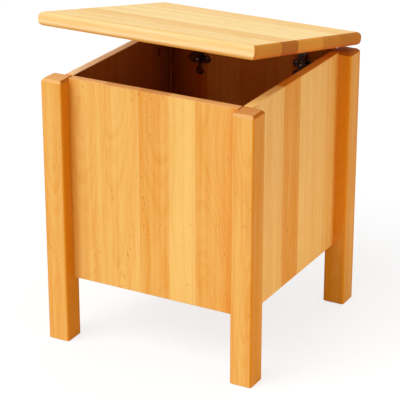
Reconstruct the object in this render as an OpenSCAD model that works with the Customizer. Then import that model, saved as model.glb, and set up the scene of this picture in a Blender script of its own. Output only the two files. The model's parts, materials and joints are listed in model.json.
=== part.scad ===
// Laundry hamper: four square posts, edge-glued panels between them, a loose
// bottom on cleats, and a solid lid that folds back on two cranked hinges.

/* [Carcass] */
// Width over the posts
body_w = 450; // [400:5:520]
// Depth over the posts
body_d = 460; // [420:5:520]
// Height of the posts and of the panels' top edge
post_h = 540; // [480:1:600]
// Side of a square post
post = 46; // [42:0.5:54]
// Radius of a post's four long edges
post_edge_r = 3.5; // [2:0.5:5]
// Chamfer round the top of a post
post_top_chamfer = 4.6; // [2:0.2:7]
// Chamfer round the foot of a post
post_foot_chamfer = 1.2; // [0.4:0.2:3]

/* [Panels] */
// Thickness of the panels
panel_t = 18; // [16:0.5:20]
// Height of the panels' lower edge above the floor
panel_z = 130; // [90:1:180]
// Set-back of the front and side panels from the posts' outer faces
panel_inset = 27; // [20:0.5:27]
// Set-back of the rear panel from the posts' back faces
rear_inset = 14; // [0:0.5:27]
// Easing along a panel's upper and lower edges
panel_easing = 1.4; // [0.4:0.2:2]
// Width of the front and rear panels' first stave, from the left (a panel's staves are
// widened or narrowed alike, so that they fill it)
face_stave_first = 77; // [60:1:90]
// Width of the front and rear panels' second stave
face_stave_second = 74; // [60:1:90]
// Width of the front and rear panels' third stave
face_stave_third = 64; // [50:1:85]
// Width of the front and rear panels' fourth stave
face_stave_fourth = 56; // [45:1:80]
// Width of the front and rear panels' last stave
face_stave_last = 87; // [60:1:100]
// Width of a side panel's first two staves, from the front
side_stave_front = 65; // [50:0.5:80]
// Width of a side panel's third stave
side_stave_third = 70; // [50:0.5:80]
// Width of a side panel's fourth stave
side_stave_fourth = 112; // [80:0.5:120]
// Width of a side panel's last stave
side_stave_last = 56; // [45:0.5:80]

/* [Bottom] */
// Thickness of the bottom board
bottom_t = 12; // [9:0.5:18]
// Side of a square cleat under the bottom board
cleat = 20; // [18:0.5:25]
// Height of the cleats above the panels' lower edge
cleat_rise = 6; // [0:0.5:20]
// Shortening of a cleat at each end
cleat_end_gap = 12; // [2:1:30]

/* [Dowels and screws] */
// Dowel diameter
dowel_d = 8; // [6:0.5:10]
// Dowel length
dowel_len = 36; // [30:1:40]
// Height of the lowest dowel above the panel's lower edge
dowel_first = 50; // [30:1:90]
// Distance of the highest dowel below the panel's upper edge
dowel_last = 60; // [45:1:90]
// Height by which the side panels' dowels miss those of the front and rear
dowel_stagger = 20; // [14:1:30]
// Shank diameter of the cleat screws
cleat_screw_d = 4; // [3:0.5:4.5]
// Length of the cleat screws
cleat_screw_len = 32; // [26:1:33]
// Distance of the outer cleat screws from a cleat's ends
cleat_screw_margin = 24; // [12:1:40]
// Shank diameter of the hinge screws
hinge_screw_d = 3.5; // [3:0.25:4]
// Length of the hinge screws
hinge_screw_len = 14; // [10:0.5:16]

/* [Lid] */
// Set-back of the lid's ends from the posts' outer faces
lid_end_inset = 0.5; // [-6:0.5:4]
// Reach of the lid's front edge beyond the posts' front faces
lid_front_reach = 12.5; // [6:0.5:25]
// Thickness of the lid
lid_t = 26; // [22:0.5:30]
// Radius of the lid's upper and lower edges, all round
lid_edge_r = 8.5; // [2:0.5:10]
// Set-back of the lid's rear edge from the posts' back faces
lid_rear_inset = 1.5; // [0:0.5:4]
// Gap between the closed lid and the posts
lid_gap = 4; // [3.5:0.5:8]
// Angle at which the lid stands open at rest
lid_rest_angle = 12; // [0:1:40]
// Width of the lid's front strip (all five are widened or narrowed alike, to fill the lid)
strip_front = 110; // [80:1:130]
// Width of the lid's second strip
strip_second = 70; // [60:1:100]
// Width of the lid's third strip
strip_third = 109; // [80:1:130]
// Width of the lid's fourth strip
strip_fourth = 74; // [60:1:100]
// Width of the lid's rear strip
strip_rear = 108; // [80:1:130]
// Diameter of a bumper under the lid
bumper_d = 10; // [8:0.5:14]

/* [Hinges] */
// Distance of each hinge's centre from the hamper's middle
hinge_x = 118; // [95:1:135]
// Distance of the pin's axis behind the lid's rear edge
pin_back = 11.5; // [8:0.5:16]
// Diameter of the hinge pin
pin_d = 4; // [3:0.5:5]
// Outside diameter of a knuckle
knuckle_d = 10; // [8:0.5:12]
// Thickness of the strap and of the lid's leaf
strap_t = 2.5; // [2:0.25:3]
// Width of the strap and of the arm
arm_w = 16; // [14:0.5:28]
// Height of the arm
arm_h = 52.5; // [50:0.5:72]
// Depth of the arm
arm_depth = 12; // [9:0.5:16]
// Distance of the arm's upper end below the posts' top
arm_drop = 18; // [12:0.5:26]
// Thickness of the wing plate
plate_t = 3; // [2:0.25:4]
// Distance of the outer screws from the hinge's centre
wing_reach = 16; // [14:0.5:26]
// Radius of a wing's round end
wing_r = 8.5; // [7:0.5:10]
// Distance between the upper and lower wings
wing_pitch = 24; // [19:0.5:28]
// Distance of the upper wings below the posts' top
wing_drop = 40; // [36:0.5:44]
// Distance of the plate's lowest screw below the arm
tail_drop = 19.5; // [12:0.5:28]
// Width of the leaf under the lid
leaf_w = 54; // [48:1:64]
// Reach of the leaf forward of the lid's rear edge
leaf_reach = 42; // [38:1:60]
// Distance of the leaf's first screws from its front edge
leaf_screw_first = 11; // [7:0.5:14]
// Distance between the leaf's first and second screws
leaf_screw_pitch = 18; // [12:0.5:22]
// Distance of the leaf's screws from its sides
leaf_screw_side = 9; // [6:0.5:12]

/* [Hidden] */
$fn = 48;
// Clearance between pieces that are slid or turned into each other
fit = 0.05;
// Clearance between pieces that lie or move past each other
gap = 0.4;
// Room left beyond the end of a dowel or a screw
end_room = 0.5;
// Overshoot of a cut past the face that it opens
over = 1;

// Carcass planes
post_x = body_w / 2 - post;
post_y = body_d / 2 - post;
side_out = body_w / 2 - panel_inset;
side_in = side_out - panel_t;
front_out = -body_d / 2 + panel_inset;
front_in = front_out + panel_t;
rear_out = body_d / 2 - rear_inset;
rear_in = rear_out - panel_t;
panel_h = post_h - panel_z;

// Running total of the first n widths of a list
function sum_to(widths, n) = n == 0 ? 0 : widths[n - 1] + sum_to(widths, n - 1);

// Widths in the same proportion, drawn out to fill a whole width
function filling(whole, widths) =
    [for (w = widths) w * whole / sum_to(widths, len(widths))];

// Staves, as widths from left to right or from front to back
face_staves = filling(2 * post_x, [face_stave_first, face_stave_second, face_stave_third,
    face_stave_fourth, face_stave_last]);
side_staves = filling(2 * post_y, [side_stave_front, side_stave_front, side_stave_third,
    side_stave_fourth, side_stave_last]);

// Dowels
dowel_zs = [panel_z + dowel_first,
    (panel_z + dowel_first + post_h - dowel_last) / 2,
    post_h - dowel_last];

// Bottom
cleat_z = panel_z + cleat_rise;
bottom_z = cleat_z + cleat;
bottom_x = post_x - gap;
bottom_front = -post_y + gap;
bottom_rear = rear_in - gap;
across_half = side_in - cleat - gap;
along_half = post_y - cleat_end_gap;
// A screw head's diameter, as a multiple of its shank's
head_ratio = 2;

// Lid when closed
lid_z = post_h + lid_gap;
lid_rear = body_d / 2 - lid_rear_inset;
lid_front = -body_d / 2 - lid_front_reach;
lid_w = body_w - 2 * lid_end_inset;
lid_d = lid_rear - lid_front;
lid_strips = filling(lid_d, [strip_front, strip_second, strip_third, strip_fourth, strip_rear]);

// Hinge
// Room between the leaf's middle and the arm's knuckle
knuckle_room = 2;
pin_y = lid_rear + pin_back;
pin_z = lid_z + knuckle_d / 2;
leaf_root = pin_y - knuckle_d / 2 - knuckle_room;
leaf_front = lid_rear - leaf_reach;
arm_top = post_h - arm_drop;
arm_y = rear_in - plate_t;
arm_low = arm_top - arm_h;
arm_front = arm_y - arm_depth;
wing_zs = [post_h - wing_drop, post_h - wing_drop - wing_pitch];
tail_z = arm_low - tail_drop;
plate_screws = concat([for (x = [-wing_reach, wing_reach], z = wing_zs) [x, z]], [[0, tail_z]]);
arm_wall = 2;
arm_screw_d = 4;
arm_screw_head_h = 2.2;
leaf_screw_ys = [leaf_front + leaf_screw_first, leaf_front + leaf_screw_first + leaf_screw_pitch];
leaf_screw_x = leaf_w / 2 - leaf_screw_side;
knuckle_w = (leaf_w - arm_w) / 2 - gap;

// Bumpers
bumper_x = (body_w - post) / 2;
bumper_y = (body_d - post) / 2;
peg_h = 6;

// The whole stands with the middle of its depth, lid ajar, over the origin
function turned_y(y, z) = pin_y + (y - pin_y) * cos(lid_rest_angle)
    + (z - pin_z) * sin(lid_rest_angle);
lid_reach = turned_y(lid_front + lid_edge_r, lid_z + lid_edge_r) - lid_edge_r;
lid_back_reach = turned_y(lid_rear - lid_edge_r, lid_z + lid_t - lid_edge_r) + lid_edge_r;
foremost = min(-body_d / 2, lid_reach);
hindmost = max(body_d / 2, pin_y + knuckle_d / 2, lid_back_reach);
y_shift = -(foremost + hindmost) / 2;

// ---- Shared shapes ----

// Moves a child from the carcass's own centre to the origin of the whole
module placed() {
    translate([0, y_shift, 0]) children();
}

// The same for the lid's pieces, turned open about the pin
module placed_lid() {
    placed() translate([0, pin_y, pin_z]) rotate([-lid_rest_angle, 0, 0])
        translate([0, -pin_y, -pin_z]) children();
}

// A flat outline of (y, z) drawn out along X between two planes
module along_x(x0, x1) {
    translate([x0, 0, 0]) rotate([90, 0, 90]) linear_extrude(x1 - x0) children();
}

// A flat outline of (x, z) drawn out along Y between two planes
module along_y(y0, y1) {
    translate([0, y1, 0]) rotate([90, 0, 0]) linear_extrude(y1 - y0) children();
}

// A rectangle whose low corner is (0, 0), with its corners cut at 45 degrees
module eased_rect(w, h, low, high) {
    polygon([[low, 0], [w - low, 0], [w, low], [w, h - high],
        [w - high, h], [high, h], [0, h - high], [0, low]]);
}

// A square with round corners, centred
module rounded_square(side, r) {
    square([side - 2 * r, side], center = true);
    square([side, side - 2 * r], center = true);
    for (sx = [-1, 1], sy = [-1, 1])
        translate([sx * (side / 2 - r), sy * (side / 2 - r)]) circle(r);
}

// A countersunk screw, its head's face at z = 0 and its point downwards; grow widens it
module screw(d, len, grow = 0) {
    head_h = d * (head_ratio - 1) / 2;
    translate([0, 0, -len - (grow > 0 ? end_room : 0)])
        cylinder(d = d + 2 * grow, h = len + (grow > 0 ? end_room : 0));
    rotate_extrude() polygon([[0, 0], [d * head_ratio / 2 + grow, 0],
        [d / 2 + grow, -head_h], [0, -head_h]]);
}

// ---- Carcass ----

// A dowel, or its hole, centred on the origin along Z
module dowel(grow = 0) {
    cylinder(d = dowel_d + 2 * grow, h = dowel_len + (grow > 0 ? 2 * end_room : 0), center = true);
}

// Dowels at the two ends of the front panel (sy < 0) or the rear panel (sy > 0)
module face_dowels(sy, grow = 0) {
    y = sy > 0 ? rear_out - panel_t / 2 : front_out + panel_t / 2;
    for (sx = [-1, 1], z = dowel_zs)
        translate([sx * post_x, y, z]) rotate([0, 90, 0]) dowel(grow);
}

// Dowels at the two ends of the left panel (sx < 0) or the right panel (sx > 0)
module side_dowels(sx, grow = 0) {
    for (sy = [-1, 1], z = dowel_zs)
        translate([sx * (side_out - panel_t / 2), sy * post_y, z - dowel_stagger])
            rotate([90, 0, 0]) dowel(grow);
}

// One post with its dowel holes; sx and sy say which corner
module post_at(sx, sy) {
    color("#E9A95C") placed() difference() {
        translate([sx * (body_w - post) / 2, sy * (body_d - post) / 2, 0]) intersection() {
            linear_extrude(post_h) rounded_square(post, post_edge_r);
            along_x(-post, post) translate([-post / 2, 0])
                eased_rect(post, post_h, post_foot_chamfer, post_top_chamfer);
            along_y(-post, post) translate([-post / 2, 0])
                eased_rect(post, post_h, post_foot_chamfer, post_top_chamfer);
        }
        face_dowels(sy, fit);
        side_dowels(sx, fit);
    }
}

// Screws through the front cleat (sy < 0) or the rear cleat (sy > 0) into its panel
module across_fixings(sy, grow = 0) {
    y = sy > 0 ? rear_in - cleat : front_in + cleat;
    for (x = [-1, 0, 1] * (across_half - cleat_screw_margin))
        translate([x, y, cleat_z + cleat / 2]) rotate([sy * 90, 0, 0])
            screw(cleat_screw_d, cleat_screw_len, grow);
}

// Screws through the left cleat (sx < 0) or the right cleat (sx > 0) into its panel
module along_fixings(sx, grow = 0) {
    for (y = [-1, 0, 1] * (along_half - cleat_screw_margin))
        translate([sx * (side_in - cleat), y, cleat_z + cleat / 2]) rotate([0, -sx * 90, 0])
            screw(cleat_screw_d, cleat_screw_len, grow);
}

// One stave of the front panel (sy < 0) or the rear panel (sy > 0), counted from the left
module face_stave(i, sy) {
    x0 = -post_x + sum_to(face_staves, i);
    color(i % 2 == 0 ? "#F0B469" : "#E8A658") placed() difference() {
        along_x(x0, x0 + face_staves[i]) translate([sy > 0 ? rear_in : front_out, panel_z])
            eased_rect(panel_t, panel_h, panel_easing, panel_easing);
        face_dowels(sy, fit);
        across_fixings(sy, fit);
        if (sy > 0) plate_fixings(fit);
    }
}

// One stave of a side panel, counted from the front; sx says which side
module side_stave(i, sx) {
    y0 = -post_y + sum_to(side_staves, i);
    color(i == 2 ? "#CE8438" : i == 4 ? "#D9964A" : "#EBB06A") placed() difference() {
        along_y(y0, y0 + side_staves[i]) translate([sx > 0 ? side_in : -side_out, panel_z])
            eased_rect(panel_t, panel_h, panel_easing, panel_easing);
        side_dowels(sx, fit);
        along_fixings(sx, fit);
    }
}

module bottom_board() {
    color("#E6BC86") placed() translate([-bottom_x, bottom_front, bottom_z])
        cube([2 * bottom_x, bottom_rear - bottom_front, bottom_t]);
}

// The cleat along the front panel (sy < 0) or the rear panel (sy > 0)
module cleat_across(sy) {
    color("#D9A869") placed() difference() {
        translate([-across_half, sy > 0 ? rear_in - cleat : front_in, cleat_z])
            cube([2 * across_half, cleat, cleat]);
        across_fixings(sy, fit);
    }
}

// The cleat along the left panel (sx < 0) or the right panel (sx > 0)
module cleat_along(sx) {
    color("#D9A869") placed() difference() {
        translate([sx > 0 ? side_in - cleat : -side_in, -along_half, cleat_z])
            cube([cleat, 2 * along_half, cleat]);
        along_fixings(sx, fit);
    }
}

module dowels() {
    color("#D8B07A") placed() for (s = [-1, 1]) {
        face_dowels(s);
        side_dowels(s);
    }
}

module cleat_screws() {
    color("#B9B6AE") placed() for (s = [-1, 1]) {
        across_fixings(s);
        along_fixings(s);
    }
}

// ---- Hinges, fixed half ----

// Screws through the wings and the tail into the rear panel
module plate_fixings(grow = 0) {
    for (sx = [-1, 1], p = plate_screws)
        translate([sx * hinge_x + p[0], arm_y, p[1]]) rotate([90, 0, 0])
            screw(hinge_screw_d, hinge_screw_len, grow);
}

// Round-headed screws through the arm's front into the wing plate
module arm_fixings(grow = 0) {
    for (sx = [-1, 1], z = wing_zs) translate([sx * hinge_x, arm_front, z]) rotate([90, 0, 0]) {
        translate([0, 0, -arm_depth - plate_t])
            cylinder(d = arm_screw_d + 2 * grow, h = arm_depth + plate_t + arm_screw_head_h);
        if (grow == 0) cylinder(d = arm_screw_d * head_ratio, h = arm_screw_head_h);
    }
}

// The wing plate: a bar behind the arm, two cross-pieces with round ends, and a tail on a neck
module hinge_plate(sx) {
    color("#2B2622") placed() difference() {
        translate([sx * hinge_x, 0, 0]) along_y(arm_y, rear_in) {
            translate([-arm_w / 2, arm_low]) square([arm_w, arm_h]);
            for (z = wing_zs) {
                translate([-wing_reach, z - wing_r]) square([2 * wing_reach, 2 * wing_r]);
                for (wx = [-wing_reach, wing_reach]) translate([wx, z]) circle(wing_r);
            }
            translate([-wing_r / 3, tail_z]) square([2 * wing_r / 3, arm_low - tail_z]);
            translate([0, tail_z]) circle(wing_r);
        }
        plate_fixings(fit);
        arm_fixings(fit);
    }
}

// The arm: a channel over the wing plate, whose strap runs over the rear panel to the pin
module hinge_arm(sx) {
    back = pin_y + knuckle_d / 2;
    color("#332D28") placed() difference() {
        translate([sx * hinge_x, 0, 0]) {
            along_x(-arm_w / 2, arm_w / 2) {
                translate([arm_front, arm_low]) square([arm_wall, arm_h]);
                translate([arm_front, arm_top - arm_wall]) square([arm_depth, arm_wall]);
                translate([arm_y - strap_t, arm_top - arm_wall])
                    square([strap_t, post_h + strap_t - arm_top + arm_wall]);
                translate([arm_y - strap_t, post_h]) square([back - arm_y + strap_t, strap_t]);
                translate([back - strap_t, post_h]) square([strap_t, pin_z - post_h]);
                translate([pin_y, pin_z]) circle(d = knuckle_d);
            }
            for (x = [-arm_w / 2, arm_w / 2 - arm_wall])
                translate([x, arm_front, arm_low]) cube([arm_wall, arm_depth, arm_h]);
        }
        translate([sx * hinge_x, pin_y, pin_z]) rotate([0, 90, 0])
            cylinder(d = pin_d + 2 * fit, h = arm_w + 2 * over, center = true);
        arm_fixings(fit);
    }
}

module hinge_pin(sx) {
    color("#3A342E") placed() translate([sx * hinge_x, pin_y, pin_z]) rotate([0, 90, 0])
        cylinder(d = pin_d, h = leaf_w, center = true);
}

module hinge_plate_screws() {
    color("#4A443D") placed() plate_fixings();
}

module hinge_arm_screws() {
    color("#57504A") placed() arm_fixings();
}

// ---- Lid ----

// Section of the closed lid from a to b, round along its upper and lower edges
module lid_section(a, b) {
    r = lid_edge_r;
    translate([a + r, lid_z]) square([b - a - 2 * r, lid_t]);
    translate([a, lid_z + r]) square([b - a, lid_t - 2 * r]);
    for (u = [a + r, b - r], z = [lid_z + r, lid_z + lid_t - r]) translate([u, z]) circle(r);
}

// Screws through the leaf into the lid's rear strip, heads down
module leaf_fixings(grow = 0) {
    for (sx = [-1, 1], wx = [-leaf_screw_x, leaf_screw_x], y = leaf_screw_ys)
        translate([sx * hinge_x + wx, y, lid_z]) mirror([0, 0, 1])
            screw(hinge_screw_d, hinge_screw_len, grow);
}

// Bed for a hinge leaf in the lid's underside
module leaf_bed(sx) {
    translate([sx * hinge_x - leaf_w / 2 - gap, leaf_front - gap, lid_z - over])
        cube([leaf_w + 2 * gap, leaf_reach + gap + over, strap_t + over]);
}

// Bumpers below the lid, over the posts, with their pegs; or the pegs' holes
module bumpers(grow = 0) {
    for (sx = [-1, 1], sy = [-1, 1]) translate([sx * bumper_x, sy * bumper_y, 0]) {
        translate([0, 0, post_h + gap])
            cylinder(d = bumper_d / 2 + 2 * grow, h = lid_gap - gap + peg_h + 2 * grow);
        if (grow == 0) translate([0, 0, post_h + gap]) cylinder(d = bumper_d, h = lid_gap - gap);
    }
}

// One strip of the lid, counted from the front
module lid_strip(i) {
    y0 = lid_front + sum_to(lid_strips, i);
    color(i == 1 ? "#F3C987" : "#FBDCA2") placed_lid() difference() {
        intersection() {
            along_x(-lid_w / 2, lid_w / 2) intersection() {
                lid_section(lid_front, lid_rear);
                translate([y0, lid_z]) square([lid_strips[i], lid_t]);
            }
            along_y(lid_front, lid_rear) lid_section(-lid_w / 2, lid_w / 2);
        }
        leaf_bed(-1);
        leaf_bed(1);
        leaf_fixings(fit);
        bumpers(fit);
    }
}

// The leaf let into the lid's underside, with a knuckle on each side of the arm's
module hinge_leaf(sx) {
    color("#2F2A25") placed_lid() difference() {
        translate([sx * hinge_x, 0, 0]) {
            translate([-leaf_w / 2, leaf_front, lid_z])
                cube([leaf_w, leaf_root - leaf_front, strap_t]);
            for (x0 = [-leaf_w / 2, leaf_w / 2 - knuckle_w]) {
                translate([x0, leaf_front, lid_z]) cube([knuckle_w, pin_y - leaf_front, strap_t]);
                along_x(x0, x0 + knuckle_w) translate([pin_y, pin_z]) circle(d = knuckle_d);
            }
        }
        translate([sx * hinge_x, pin_y, pin_z]) rotate([0, 90, 0])
            cylinder(d = pin_d + 2 * fit, h = leaf_w + 2 * over, center = true);
        leaf_fixings(fit);
    }
}

module hinge_leaf_screws() {
    color("#4A443D") placed_lid() leaf_fixings();
}

module lid_bumpers() {
    color("#4B4038") placed_lid() bumpers();
}

post_at(-1, -1);  // post_front_left
post_at(1, -1);  // post_front_right
post_at(-1, 1);  // post_rear_left
post_at(1, 1);  // post_rear_right
for (i = [0 : 4]) {
    face_stave(i, -1);
    face_stave(i, 1);
    side_stave(i, -1);
    side_stave(i, 1);
    lid_strip(i);
}
bottom_board();
cleat_across(-1);  // cleat_front
cleat_across(1);  // cleat_rear
cleat_along(-1);  // cleat_left
cleat_along(1);  // cleat_right
dowels();
cleat_screws();
hinge_plate(-1);  // hinge_plate_left
hinge_plate(1);  // hinge_plate_right
hinge_arm(-1);  // hinge_arm_left
hinge_arm(1);  // hinge_arm_right
hinge_pin(-1);  // hinge_pin_left
hinge_pin(1);  // hinge_pin_right
hinge_plate_screws();
hinge_arm_screws();
hinge_leaf(-1);  // hinge_leaf_left
hinge_leaf(1);  // hinge_leaf_right
hinge_leaf_screws();
lid_bumpers();
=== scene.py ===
import bpy
import bmesh
import json
import math
from mathutils import Matrix, Vector


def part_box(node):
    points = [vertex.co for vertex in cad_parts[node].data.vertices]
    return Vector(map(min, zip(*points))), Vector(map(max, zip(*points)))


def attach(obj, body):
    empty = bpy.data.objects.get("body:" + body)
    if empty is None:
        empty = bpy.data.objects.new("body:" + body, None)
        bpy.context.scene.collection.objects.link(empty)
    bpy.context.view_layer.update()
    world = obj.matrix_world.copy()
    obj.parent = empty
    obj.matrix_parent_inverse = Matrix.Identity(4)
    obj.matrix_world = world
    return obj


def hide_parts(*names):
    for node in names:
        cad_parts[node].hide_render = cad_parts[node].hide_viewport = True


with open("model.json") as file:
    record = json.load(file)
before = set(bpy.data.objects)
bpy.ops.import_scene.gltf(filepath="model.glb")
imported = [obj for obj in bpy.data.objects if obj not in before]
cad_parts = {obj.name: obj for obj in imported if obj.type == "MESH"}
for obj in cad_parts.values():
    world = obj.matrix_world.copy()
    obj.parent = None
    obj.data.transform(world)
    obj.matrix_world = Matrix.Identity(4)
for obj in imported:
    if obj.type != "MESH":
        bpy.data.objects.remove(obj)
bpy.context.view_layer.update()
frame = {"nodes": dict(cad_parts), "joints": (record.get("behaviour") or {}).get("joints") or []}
nodes = frame["nodes"]
print("frame loaded:", len(nodes), "CAD nodes")

hinge = frame["joints"][0]
lidPivot = Vector(hinge["pos_m"])
lidRest = math.radians(-hinge["range_deg"][0])
# from the closed lid's place to where it stands at rest
lidTurn = (Matrix.Translation(lidPivot) @ Matrix.Rotation(-lidRest, 4, "X")
           @ Matrix.Translation(-lidPivot))
lidBack = lidTurn.inverted()


class Signal:
    # one output socket of a node; arithmetic on it adds Math nodes
    def __init__(self, graph, socket):
        self.graph = graph
        self.socket = socket

    def __getitem__(self, output):
        return Signal(self.graph, self.socket.node.outputs[output])

    def __add__(self, other):
        return self.graph.maths("ADD", self, other)

    def __radd__(self, other):
        return self.graph.maths("ADD", other, self)

    def __sub__(self, other):
        return self.graph.maths("SUBTRACT", self, other)

    def __rsub__(self, other):
        return self.graph.maths("SUBTRACT", other, self)

    def __mul__(self, other):
        return self.graph.maths("MULTIPLY", self, other)

    def __rmul__(self, other):
        return self.graph.maths("MULTIPLY", other, self)

    def __truediv__(self, other):
        return self.graph.maths("DIVIDE", self, other)

    def __pow__(self, other):
        return self.graph.maths("POWER", self, other)


class Graph:
    # a node tree, with one method that adds any node
    def __init__(self, tree):
        self.tree = tree

    def add(self, kind, settings=None, sockets=None, output=0):
        node = self.tree.nodes.new(kind)
        for key, value in (settings or {}).items():
            if key == "stops":
                ramp = node.color_ramp
                while len(ramp.elements) < len(value):
                    ramp.elements.new(0.5)
                for stop, (place, colour) in zip(ramp.elements, value):
                    stop.position = place
                    stop.color = colour
            else:
                setattr(node, key, value)
        for key, value in (sockets or {}).items():
            self.feed(node.inputs[key], value)
        return Signal(self, node.outputs[output]) if node.outputs else None

    def feed(self, socket, value):
        if isinstance(value, Signal):
            self.tree.links.new(value.socket, socket)
        elif isinstance(value, list):
            for each in value:
                self.feed(socket, each)
        else:
            socket.default_value = value

    def maths(self, operation, *values, clamp=False):
        return self.add("ShaderNodeMath", {"operation": operation, "use_clamp": clamp},
                        dict(enumerate(values)))

    def vector(self, x=0.0, y=0.0, z=0.0):
        return self.add("ShaderNodeCombineXYZ", None, {"X": x, "Y": y, "Z": z})

    def vectorMaths(self, operation, *values, output=0):
        return self.add("ShaderNodeVectorMath", {"operation": operation},
                        dict(enumerate(values)), output)

    def fade(self, value, low, high):
        return self.add("ShaderNodeMapRange", {"interpolation_type": "SMOOTHSTEP"},
                        {"Value": value, "From Min": low, "From Max": high})

    def mixed(self, factor, first, second, blendType="MIX"):
        return self.add("ShaderNodeMix", {"data_type": "RGBA", "blend_type": blendType},
                        {0: factor, 6: first, 7: second}, 2)

    def tinted(self, colour, tint):
        return self.mixed(1.0, colour, (*tint, 1), "MULTIPLY")

    def noise(self, vector, scale, detail=2.0, rough=0.5):
        return self.add("ShaderNodeTexNoise", None,
                        {"Vector": vector, "Scale": scale, "Detail": detail, "Roughness": rough})

    def split(self, vector):
        return self.add("ShaderNodeSeparateXYZ", None, {"Vector": vector})


woodLook = {
    "ringWidth": 0.0042,     # mean distance between growth rings
    "heartDepth": 0.058,     # how far in front of or behind a board's face the heart lies
    "heartSway": 0.020,      # how far the heart wanders along the grain
    "ringTone": 0.14,
    "fibreTone": 0.50,
    "streakTone": 0.80,
    "bandTone": 0.45,        # broad stripes along a board
    "cloudTone": 0.40,
    "fleckTone": 0.80,
    "rosyTone": 0.06,        # pinkish patches
    "rosyColour": (0.86, 0.40, 0.20),
    "fleckTint": (0.62, 0.45, 0.30),
    "endRingTone": 0.12,     # rings, pores and clouds on end grain
    "endPoreTone": 0.4,
    "endCloudTone": 0.5,
    "quirkTone": 0.85,       # line of painted shade along the crest of a rounding
    "quirkTint": (0.72, 0.58, 0.5),
    "knotTone": 0.8,
    "knotTint": (0.30, 0.22, 0.20),
    "cornerReach": 0.022,    # how far from a post the painted shade on the panels reaches
    "cornerTint": (0.90, 0.70, 0.36),
    "nookReach": 0.100,      # how far the painted shade in the hamper's corners spreads
    "nookShade": 0.55,
    "roughness": 0.46,
    "endRoughness": 0.3,     # how much rougher end grain is
    "specular": 0.08,
    "coat": 0.03,
    "coatRoughness": 0.32,
    "bump": 0.12,
    "bumpDepth": 0.0006,
}
# the noises of the grain: scales across, through and along a board, and detail
woodGrain = {
    "sway": ((1.5, 1.5, 2.3), 1.0),
    "crinkle": ((26.0, 26.0, 5.0), 3.0),
    "fibre": ((700.0, 700.0, 16.0), 2.0),
    "streak": ((130.0, 130.0, 2.2), 4.0),
    "band": ((75.0, 75.0, 1.5), 1.0),
    "cloud": ((11.0, 11.0, 4.5), 2.0),
    "rosy": ((24.0, 24.0, 7.0), 1.0),
    "fleck": ((650.0, 650.0, 80.0), 0.5),
    "patch": ((30.0, 30.0, 9.0), 1.0),
    "pores": ((1500.0, 1500.0, 300.0), 1.0),
}


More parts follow.
